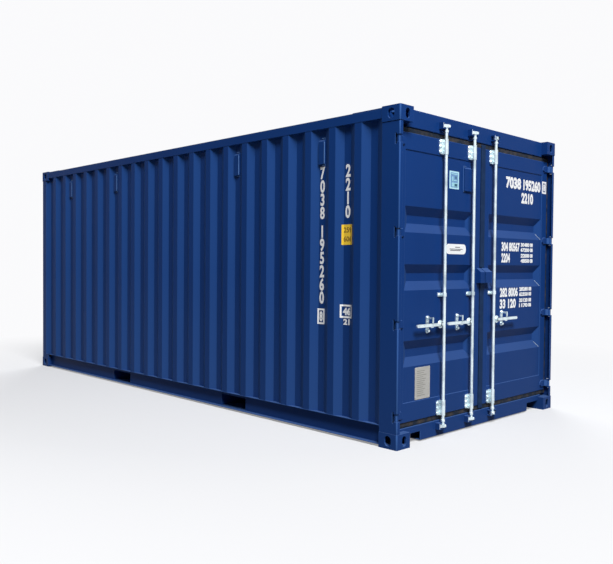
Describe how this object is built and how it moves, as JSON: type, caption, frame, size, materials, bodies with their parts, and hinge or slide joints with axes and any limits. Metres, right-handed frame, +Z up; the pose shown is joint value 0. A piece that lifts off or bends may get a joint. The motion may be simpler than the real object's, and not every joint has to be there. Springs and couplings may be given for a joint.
{
  "type": "shipping container",
  "caption": "Twenty-foot steel freight container with corrugated walls, corner castings, fork pockets and two hinged end doors with turning lock rods and handles.",
  "frame": {"origin": "on the ground under the middle of the container", "axes": "+X to the right as seen from the door end, +Y along the container away from the doors, +Z up"},
  "size_m": [2.438, 6.058, 2.591],
  "materials": {
    "blue_paint": "semi-gloss paint over folded steel",
    "zinc_steel": "bright zinc",
    "door_rubber": "matt",
    "floor_wood": "sealed plywood"
  },
  "bodies": {
    "frame": {"top_corner_castings": "blue_paint", "bottom_corner_castings": "blue_paint", "front_corner_posts": "blue_paint", "rear_corner_posts": "blue_paint", "top_side_rails": "blue_paint", "bottom_side_rails": "blue_paint", "front_header": "blue_paint", "front_sill": "blue_paint", "door_header": "blue_paint", "door_sill": "blue_paint", "left_side_wall": "blue_paint", "right_side_wall": "blue_paint", "front_wall": "blue_paint", "roof_panel": "blue_paint", "roof_corner_plates": "blue_paint", "floor_boards": "floor_wood", "cross_members": "blue_paint", "fork_pockets": "blue_paint", "side_vents": "blue_paint", "rod_keepers": "blue_paint", "hinge_pins": "zinc_steel"},
    "left_door": {"left_door_frame": "blue_paint", "left_door_panel": "blue_paint", "left_door_gasket": "door_rubber", "left_door_hinges": "blue_paint", "left_rod_guides": "zinc_steel", "left_handle_retainers": "zinc_steel", "left_lock_staple": "blue_paint", "left_door_vent": "blue_paint"},
    "right_door": {"right_door_frame": "blue_paint", "right_door_panel": "blue_paint", "right_door_gasket": "door_rubber", "right_door_hinges": "blue_paint", "right_rod_guides": "zinc_steel", "right_handle_retainer": "zinc_steel", "right_lock_box": "blue_paint"},
    "rod_1": {"lock_rod_1": "zinc_steel"},
    "handle_1": {"handle_1": "zinc_steel"},
    "catch_1": {"catch_1": "zinc_steel"},
    "rod_2": {"lock_rod_2": "zinc_steel"},
    "handle_2": {"handle_2": "zinc_steel"},
    "catch_2": {"catch_2": "zinc_steel"},
    "rod_3": {"lock_rod_3": "zinc_steel"},
    "handle_3": {"handle_3": "zinc_steel"},
    "catch_3": {"catch_3": "zinc_steel"}
  },
  "joints": [
    {"name": "left_door_hinge", "type": "hinge", "parent": "frame", "child": "left_door", "pos_m": [-1.195, -3.003, 1.29], "axis": [0, 0, -1], "range_deg": [0, 258]},
    {"name": "right_door_hinge", "type": "hinge", "parent": "frame", "child": "right_door", "pos_m": [1.195, -3.003, 1.29], "axis": [0, 0, 1], "range_deg": [0, 258]},
    {"name": "rod_1_turn", "type": "hinge", "parent": "left_door", "child": "rod_1", "pos_m": [-0.585, -2.999, 0.92], "axis": [0, 0, -1], "range_deg": [-100, 0]},
    {"name": "handle_1_lift", "type": "hinge", "parent": "rod_1", "child": "handle_1", "pos_m": [-0.635, -3.013, 0.92], "axis": [0, -1, 0], "range_deg": [-11, 0]},
    {"name": "catch_1_flip", "type": "hinge", "parent": "left_door", "child": "catch_1", "pos_m": [-0.77, -3.025, 0.974], "axis": [0, 1, 0], "range_deg": [-130, 0]},
    {"name": "rod_2_turn", "type": "hinge", "parent": "left_door", "child": "rod_2", "pos_m": [-0.17, -2.999, 0.92], "axis": [0, 0, -1], "range_deg": [-100, 0]},
    {"name": "handle_2_lift", "type": "hinge", "parent": "rod_2", "child": "handle_2", "pos_m": [-0.22, -3.013, 0.92], "axis": [0, -1, 0], "range_deg": [-11, 0]},
    {"name": "catch_2_flip", "type": "hinge", "parent": "left_door", "child": "catch_2", "pos_m": [-0.355, -3.025, 0.974], "axis": [0, 1, 0], "range_deg": [-130, 0]},
    {"name": "rod_3_turn", "type": "hinge", "parent": "right_door", "child": "rod_3", "pos_m": [0.17, -2.999, 0.92], "axis": [0, 0, 1], "range_deg": [-100, 0]},
    {"name": "handle_3_lift", "type": "hinge", "parent": "rod_3", "child": "handle_3", "pos_m": [0.22, -3.013, 0.92], "axis": [0, 1, 0], "range_deg": [-11, 0]},
    {"name": "catch_3_flip", "type": "hinge", "parent": "right_door", "child": "catch_3", "pos_m": [0.355, -3.025, 0.974], "axis": [0, -1, 0], "range_deg": [-130, 0]}
  ]
}
